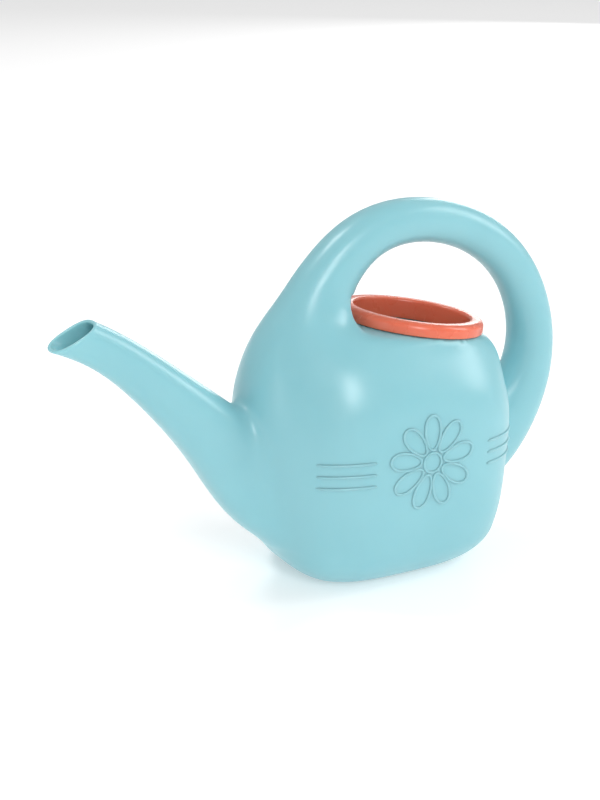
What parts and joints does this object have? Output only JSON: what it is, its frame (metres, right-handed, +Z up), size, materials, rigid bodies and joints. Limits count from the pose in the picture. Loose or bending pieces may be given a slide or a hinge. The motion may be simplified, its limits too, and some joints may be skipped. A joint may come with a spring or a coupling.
{
  "type": "watering can",
  "caption": "Child-size hollow plastic watering can: rounded box tank, long rising spout with a slanted mouth, arched handle over the filler hole, and a round clip-in collar.",
  "frame": {"origin": "middle of the flat base that the can stands on, on the centre plane", "axes": "+Z up; -X towards the spout's mouth, +X towards the handle's rear leg; the can is symmetric across the XZ plane"},
  "size_m": [0.3054, 0.1122, 0.2041],
  "materials": {
    "aqua_plastic": "satin blow-moulded polyethylene, faintly mottled",
    "coral_plastic": "satin injection-moulded polyethylene"
  },
  "bodies": {
    "root": {"tank": "aqua_plastic", "tank_shoulder": "aqua_plastic", "spout": "aqua_plastic", "handle": "aqua_plastic", "filler_collar": "coral_plastic"}
  },
  "joints": []
}
